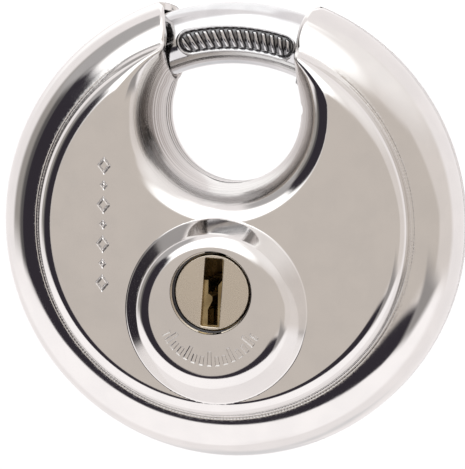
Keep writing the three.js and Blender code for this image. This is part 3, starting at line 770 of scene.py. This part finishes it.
class Tree:
    """Short calls for laying out a node tree."""

    def __init__(self, owner):
        owner.use_nodes = True
        self.nodes = owner.node_tree.nodes
        self.links = owner.node_tree.links
        self.nodes.clear()

    def add(self, kind, **settings):
        node = self.nodes.new(kind)
        for name, value in settings.items():
            setattr(node, name, value)
        return node

    def set(self, socket, value):
        if isinstance(value, bpy.types.NodeSocket):
            self.links.new(value, socket)
        else:
            socket.default_value = value

    def math(self, operation, a, b=0.0):
        node = self.add("ShaderNodeMath", operation=operation)
        self.set(node.inputs[0], a)
        self.set(node.inputs[1], b)
        return node.outputs[0]

    def plus(self, total, a, b):
        """The total with a times b added."""
        return self.math("ADD", total, self.math("MULTIPLY", a, b))

    def span(self, value, low, high, out_low=0.0, out_high=1.0):
        """The value's smooth step from low to high, scaled to the two outputs."""
        node = self.add("ShaderNodeMapRange", interpolation_type="SMOOTHSTEP")
        for socket, number in zip(node.inputs, (value, low, high, out_low, out_high)):
            self.set(socket, number)
        return node.outputs[0]

    def noise(self, position, scale, detail):
        node = self.add("ShaderNodeTexNoise")
        self.set(node.inputs["Vector"], position)
        node.inputs["Scale"].default_value = scale
        node.inputs["Detail"].default_value = detail
        return node.outputs[0]

    def joined(self, x, y, z):
        node = self.add("ShaderNodeCombineXYZ")
        for socket, value in zip(node.inputs, (x, y, z)):
            self.set(socket, value)
        return node.outputs[0]

    def length(self, x, z):
        squares = self.plus(self.math("MULTIPLY", x, x), z, z)
        return self.math("SQRT", squares)

    def mix(self, factor, a, b):
        node = self.add("ShaderNodeMix", data_type="RGBA")
        for socket, value in zip((node.inputs[0], node.inputs[6], node.inputs[7]), (factor, a, b)):
            self.set(socket, (*value, 1) if isinstance(value, tuple) and len(value) == 3 else value)
        return node.outputs[2]


GRAIN = 700.0
PATCHY_GRAIN, FINE_GRAIN, DENT_GRAIN = 0.35, 6, 0.2
PATCHY_SHARE = 0.6
SPREAD = (0.3, 0.7)


def metal(name, colours, roughness, grain=GRAIN, scratch=0.0, dents=0.0, metallic=1.0, extra=None):
    """A metal, or with metallic at 0 a paint: a drifting tint, uneven polish, fine scratches and dents."""
    material = bpy.data.materials.new(name)
    tree = Tree(material)
    position = tree.add("ShaderNodeTexCoord").outputs["Object"]
    shader = tree.add("ShaderNodeBsdfPrincipled")
    shader.inputs["Metallic"].default_value = metallic
    patchy = tree.noise(position, grain * PATCHY_GRAIN, 4)
    fine = tree.noise(position, grain * FINE_GRAIN, 3)
    tint = tree.mix(tree.span(patchy, *SPREAD), *colours)
    worn = tree.plus(tree.math("MULTIPLY", patchy, PATCHY_SHARE), fine, 1 - PATCHY_SHARE)
    gloss = tree.span(worn, *SPREAD, *roughness)
    relief = tree.math("MULTIPLY", fine, scratch)
    if dents:
        relief = tree.plus(relief, tree.noise(position, grain * DENT_GRAIN, 2), dents)
    if extra:
        tint, gloss, relief = extra(tree, position, tint, gloss, relief)
    bump = tree.add("ShaderNodeBump")
    bump.inputs["Strength"].default_value = 1.0
    bump.inputs["Distance"].default_value = MM
    tree.set(bump.inputs["Height"], relief)
    tree.set(shader.inputs["Base Color"], tint)
    tree.set(shader.inputs["Roughness"], gloss)
    tree.set(shader.inputs["Normal"], bump.outputs[0])
    tree.set(tree.add("ShaderNodeOutputMaterial").inputs[0], shader.outputs[0])
    return material


def disc_axes(tree, position):
    """x, y and z in millimetres about the disc's centre."""
    axes = tree.add("ShaderNodeSeparateXYZ")
    tree.set(axes.inputs[0], position)
    x, y, z = [tree.math("DIVIDE", output, MM) for output in axes.outputs]
    return x, y, tree.math("SUBTRACT", z, float(CENTRE_Z))


# Painted shade for the bar's slot and the gaps between its ribs: the colour it darkens to, and the depths
# below the round over which it deepens.
RECESS_SHADE_COLOUR = (0.2, 0.2, 0.205)
RECESS_FROM, RECESS_TO = 0.12, 0.42


def painted_recess_shade(tree, position, tint, gloss, relief):
    """Painted shade: the bar's colour darkens where its surface sinks below the round, in the slot and
    between its ribs, on its front half.
    """
    x, y, z = disc_axes(tree, position)
    across = tree.math("SUBTRACT", tree.length(x, z), float(BAR_RING))
    sunk = tree.span(tree.length(across, y), float(BAR - RECESS_FROM), float(BAR - RECESS_TO))
    front = tree.math("LESS_THAN", y, 0.0)
    return tree.mix(tree.math("MULTIPLY", sunk, front), tint, RECESS_SHADE_COLOUR), gloss, relief


BAND_INNER = (27.9, 28.2)
BAND_OUTER = (29.1, 28.7)
BAND_GRAIN = 2600.0
BAND_ROUGHNESS = 0.2
BAND_RELIEF = 0.009
THROAT_EDGE = (14.6, 12.6)
THROAT_LINES = 9.0
LINE_SPREAD = (0.35, 0.65)
THROAT_ROUGHNESS = (0.02, 0.2)
THROAT_RELIEF = 0.012
# Painted shade on the throat's wall: the colour it darkens to, how far out from the hole it reaches, how it
# grows higher up, and how it streaks along the turning lines.
THROAT_SHADE_COLOUR = (0.38, 0.35, 0.33)
THROAT_SHADE_EDGE = (14.0, 12.0)
THROAT_SHADE_RISE = (5.0, 13.0, 0.3, 1.0)
THROAT_SHADE_STREAKS = (0.38, 0.62, 0.45, 1.0)


def polish_and_throat_shade(tree, position, tint, gloss, relief):
    """A coarser polished band beside the groove and fine turning lines in the opening's throat, in roughness
    and relief, with painted shade that darkens the throat's wall in streaks along those lines, more strongly
    higher up and nearer the hole.
    """
    x, _, z = disc_axes(tree, position)
    rho = tree.length(x, z)
    d = tree.length(x, tree.math("SUBTRACT", z, HOLE_Z))
    band = tree.math("MULTIPLY", tree.span(rho, *BAND_INNER), tree.span(rho, *BAND_OUTER))
    throat = tree.span(d, *THROAT_EDGE)
    lines = tree.noise(tree.joined(tree.math("MULTIPLY", d, THROAT_LINES), 0.0, 0.0), 1.0, 3)
    speckle = tree.noise(position, BAND_GRAIN, 2)
    gloss = tree.plus(gloss, band, tree.span(speckle, *SPREAD, 0.0, BAND_ROUGHNESS))
    gloss = tree.plus(gloss, throat, tree.span(lines, *LINE_SPREAD, *THROAT_ROUGHNESS))
    # Painted shade: the throat's wall darkens in streaks, more higher up and nearer the hole.
    shade_streaks = tree.math("MULTIPLY", tree.span(z, *THROAT_SHADE_RISE), tree.span(lines, *THROAT_SHADE_STREAKS))
    tint = tree.mix(tree.math("MULTIPLY", tree.span(d, *THROAT_SHADE_EDGE), shade_streaks), tint, THROAT_SHADE_COLOUR)
    relief = tree.plus(relief, band, tree.math("MULTIPLY", speckle, BAND_RELIEF))
    relief = tree.plus(relief, throat, tree.math("MULTIPLY", lines, THROAT_RELIEF))
    return tint, gloss, relief


LOOKS = {
    # The shell's steel, with painted shade on the opening's throat.
    "polished_stainless": metal(
        "polished_stainless", ((0.815, 0.80, 0.785), (0.785, 0.772, 0.76)), (0.05, 0.1),
        scratch=0.0006, extra=polish_and_throat_shade),
    # The bar's steel, with painted shade in its slot and between its ribs.
    "hardened_steel": metal(
        "hardened_steel", ((0.74, 0.74, 0.745), (0.66, 0.66, 0.67)), (0.07, 0.16),
        scratch=0.001, extra=painted_recess_shade),
    "satin_nickel": metal(
        "satin_nickel", ((0.79, 0.715, 0.60), (0.775, 0.70, 0.59)), (0.24, 0.3), scratch=0.0008),
    # The brass colours are darker than brass's own: painted shade for the brass seen down the keyway and
    # round the plug's face.
    "brass": metal("brass", ((0.50, 0.39, 0.21), (0.24, 0.17, 0.08)), (0.2, 0.42), scratch=0.004, dents=0.02),
    "plain_steel": metal("plain_steel", ((0.62, 0.62, 0.62), (0.5, 0.5, 0.51)), (0.28, 0.45), scratch=0.004),
    "dark_steel": metal("dark_steel", ((0.2, 0.2, 0.21), (0.13, 0.13, 0.14)), (0.35, 0.55), scratch=0.004),
    "spring_steel": metal("spring_steel", ((0.58, 0.58, 0.6), (0.47, 0.48, 0.5)), (0.2, 0.34), scratch=0.002),
    "black_polymer": metal(
        "black_polymer", ((0.035, 0.035, 0.037), (0.02, 0.02, 0.022)), (0.45, 0.65),
        scratch=0.006, metallic=0.0),
}

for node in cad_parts.values():
    slot = node.data.materials[0].name.split(".")[0]
    node.data.materials.clear()
    node.data.materials.append(LOOKS[slot])
for piece_made, slot in ((front, "polished_stainless"), (rear, "polished_stainless"),
                         (bar, "hardened_steel"), (cap, "satin_nickel")):
    piece_made.data.materials.append(LOOKS[slot])

# ------------------------------------------------------------------ floor

FLOOR_DROP = 120.0
FLOOR_HALF = 5000.0
FLOOR_GRAIN = 30.0

floor_level = (CENTRE_Z - FLOOR_DROP) * MM
half = FLOOR_HALF * MM
corners = [(-half, -half), (half, -half), (half, half), (-half, half)]
floor = finish_mesh("floor", [(x, y, floor_level) for x, y in corners], [(0, 1, 2, 3)])
floor.visible_glossy = False
floor.data.materials.append(metal(
    "pale_floor", ((0.88, 0.88, 0.88), (0.86, 0.86, 0.86)), (0.7, 0.8),
    grain=FLOOR_GRAIN, scratch=0.01, metallic=0.0))

# ------------------------------------------------------------------ camera and light

AZIMUTH, ELEVATION, ROLL = 12.0, 5.0, 1.2
DISTANCE = 450.0
VIEW_WIDTH = 70.348
SENSOR = 36.0
SHIFT = (-0.00258, -0.02452)
CLIP_START = 0.01

camera_data = bpy.data.cameras.new("camera")
camera = bpy.data.objects.new("camera", camera_data)
bpy.context.scene.collection.objects.link(camera)
bpy.context.scene.camera = camera
azimuth, elevation = math.radians(AZIMUTH), math.radians(ELEVATION)
level = math.cos(elevation)
back = Vector((math.sin(azimuth) * level, -math.cos(azimuth) * level, math.sin(elevation)))
target = Vector((0, 0, CENTRE_Z)) * MM
camera.location = target + back * DISTANCE * MM
roll = Matrix.Rotation(math.radians(ROLL), 3, "Z")
camera.rotation_euler = (back.to_track_quat("Z", "Y").to_matrix() @ roll).to_euler()
camera_data.sensor_width = SENSOR
camera_data.lens = SENSOR * DISTANCE / VIEW_WIDTH
camera_data.shift_x, camera_data.shift_y = SHIFT
camera_data.clip_start = CLIP_START

# ------------------------------------------------------------------ the studio that the metal mirrors
# Soft cards in a white room, each a convex outline of (azimuth, elevation) in degrees seen from the lock:
# azimuth 0 is straight in front of its face and grows to the right.

LIGHT = 1.3
PLAIN_LIGHT = 1.2
WALL_COLOUR = (0.77, 0.735, 0.735)
PALE = (0.90, 0.87, 0.875)
PINK = (0.62, 0.575, 0.55)
BEIGE = (0.50, 0.455, 0.42)
GREY = (0.29, 0.272, 0.257)
CEILING_GREY = (0.37, 0.358, 0.358)
CHARCOAL = (0.09, 0.085, 0.085)
BLACK = (0.028, 0.024, 0.031)
SHADE = (0.60, 0.59, 0.6)
CARDS = [
    ("bright upper left", 20, (1.0, 0.99, 0.99), [(-179, 18), (-179, 80), (-128, 80), (-128, 18)]),
    ("bright upper right", 16, (1.25, 1.25, 1.25),
     [(-24, 0), (-8, 0), (34, 20), (58, 40), (56, 80), (-34, 80), (-48, 30)]),
    ("pale floor", 24, PALE, [(-118, -88), (-118, -14), (98, -18), (98, -88)]),
    ("pink wall", 14, PINK, [(4, -30), (4, 16), (46, 52), (102, 58), (104, -18)]),
    ("pale top of the wall", 30, (0.80, 0.77, 0.76), [(30, 30), (30, 74), (104, 72), (104, 34)]),
    ("beige wall", 7, BEIGE, [(-19, -22), (-19, 1), (-8, 8), (18, 21), (44, 23), (66, 2), (64, -16)]),
    ("grey stand", 12, GREY, [(-94, -8), (-92, 30), (-86, 60), (-60, 56), (-66, -12)]),
    ("grey ceiling edge", 9, CEILING_GREY, [(-86, 26), (-88, 62), (-48, 52), (-47, 34), (-48, 20)]),
    ("charcoal edge", 9, CHARCOAL, [(-74, -14), (-71, 24), (-56, 27), (-56, -20)]),
    ("black stand", 4, BLACK,
     [(-65, -15), (-59, 26), (-47, 25), (-32, 15), (-22, 3), (-18, -6), (-13, -32), (-25, -32), (-49, -25)]),
    ("black floor edge", 4, BLACK,
     [(-22, -12), (-20, -32), (0, -38), (20, -40), (36, -39), (46, -34), (46, -12), (12, -17), (-4, -15)]),
    ("grey floor edge", 10, (0.27, 0.255, 0.25), [(42, -12), (44, -36), (56, -35), (72, -26), (80, -20)]),
    ("shade behind left", 18, SHADE, [(-179.9, -56), (-179.9, -24), (-158, -24), (-158, -56)]),
    ("shade behind right", 18, SHADE, [(146, -58), (146, -46), (179.9, -46), (179.9, -58)]),
]


def card_mask(tree, azimuth, elevation, corners, soft):
    """1 inside a convex outline, falling to 0 over a soft edge."""
    middle = np.mean(corners, axis=0)
    nearest = None
    for (a0, e0), (a1, e1) in zip(corners, corners[1:] + corners[:1]):
        normal = np.array([e1 - e0, a0 - a1], dtype=float)
        normal /= np.linalg.norm(normal)
        if normal @ (middle - (a0, e0)) < 0:
            normal = -normal
        offset = float(-normal @ (a0, e0))
        across = tree.math("MULTIPLY_ADD", azimuth, float(normal[0]))
        across.node.inputs[2].default_value = offset
        side = tree.math("MULTIPLY_ADD", elevation, float(normal[1]))
        tree.set(side.node.inputs[2], across)
        nearest = side if nearest is None else tree.math("MINIMUM", nearest, side)
    return tree.span(nearest, -soft / 2, soft / 2)


def studio():
    """The world: metal sees the cards, while the camera and matt surfaces see an even white."""
    world = bpy.data.worlds.new("studio")
    bpy.context.scene.world = world
    tree = Tree(world)
    direction = tree.add("ShaderNodeTexCoord").outputs["Generated"]
    axes = tree.add("ShaderNodeSeparateXYZ")
    tree.set(axes.inputs[0], direction)
    behind = tree.math("MULTIPLY", axes.outputs[1], -1.0)
    to_degrees = 180 / math.pi
    azimuth = tree.math("MULTIPLY", tree.math("ARCTAN2", axes.outputs[0], behind), to_degrees)
    elevation = tree.math("MULTIPLY", tree.math("ARCSINE", axes.outputs[2]), to_degrees)
    colour = (*WALL_COLOUR, 1)
    for _, soft, tint, corners in CARDS:
        mask = card_mask(tree, azimuth, elevation, corners, soft)
        colour = tree.mix(mask, colour, tint)
    lit = tree.add("ShaderNodeBackground")
    tree.set(lit.inputs["Color"], colour)
    lit.inputs["Strength"].default_value = LIGHT
    plain = tree.add("ShaderNodeBackground")
    plain.inputs["Color"].default_value = (1, 1, 1, 1)
    plain.inputs["Strength"].default_value = PLAIN_LIGHT
    path = tree.add("ShaderNodeLightPath")
    even = tree.math("MAXIMUM", path.outputs["Is Camera Ray"], path.outputs["Is Diffuse Ray"])
    seen = tree.add("ShaderNodeMixShader")
    tree.set(seen.inputs[0], even)
    tree.set(seen.inputs[1], lit.outputs[0])
    tree.set(seen.inputs[2], plain.outputs[0])
    tree.set(tree.add("ShaderNodeOutputWorld").inputs[0], seen.outputs[0])


studio()
bpy.context.scene.view_settings.view_transform = "Standard"
